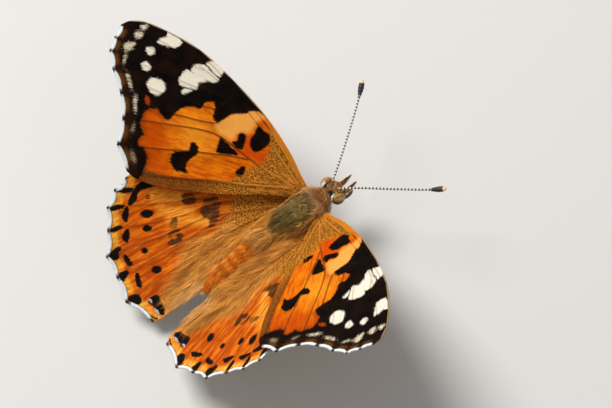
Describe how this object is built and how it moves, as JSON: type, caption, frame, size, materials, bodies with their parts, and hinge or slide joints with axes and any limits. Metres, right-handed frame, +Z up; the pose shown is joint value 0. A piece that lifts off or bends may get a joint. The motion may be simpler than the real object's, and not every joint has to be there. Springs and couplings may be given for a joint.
{
  "type": "painted lady butterfly",
  "caption": "Life-size still model of an orange, black and white butterfly standing with half-raised wings.",
  "frame": {"origin": "middle of the whole insect's box in plan, on the ground under its feet", "axes": "+Y towards the head, +X to the insect's right, +Z up"},
  "size_m": [0.0594, 0.0412, 0.0229],
  "materials": {
    "thorax": "dense olive and tan hair, matt",
    "abdomen": "orange-brown scales and short hair, matt",
    "head": "tan and black hair, matt",
    "eye": "smooth yellow-brown dome, satin gloss",
    "antenna": "black with pale rings, club tipped cream",
    "palp": "orange-brown scales with dark tips, matt",
    "proboscis": "dark brown, slightly glossy",
    "leg": "fawn scales, matt",
    "forewing": "overlapping powdery scales: orange with black and white, matt",
    "hindwing": "overlapping powdery scales: orange with black dots, matt"
  },
  "bodies": {
    "root": {"head": "head", "thorax": "thorax", "abdomen": "abdomen", "proboscis": "proboscis", "eye_L": "eye", "antenna_L": "antenna", "palp_L": "palp", "leg_fore_L": "leg", "leg_mid_L_femur": "leg", "leg_mid_L_tibia": "leg", "leg_mid_L_tarsus": "leg", "leg_hind_L_femur": "leg", "leg_hind_L_tibia": "leg", "leg_hind_L_tarsus": "leg", "forewing_L": "forewing", "hindwing_L": "hindwing", "eye_R": "eye", "antenna_R": "antenna", "palp_R": "palp", "leg_fore_R": "leg", "leg_mid_R_femur": "leg", "leg_mid_R_tibia": "leg", "leg_mid_R_tarsus": "leg", "leg_hind_R_femur": "leg", "leg_hind_R_tibia": "leg", "leg_hind_R_tarsus": "leg", "forewing_R": "forewing", "hindwing_R": "hindwing"}
  },
  "joints": []
}
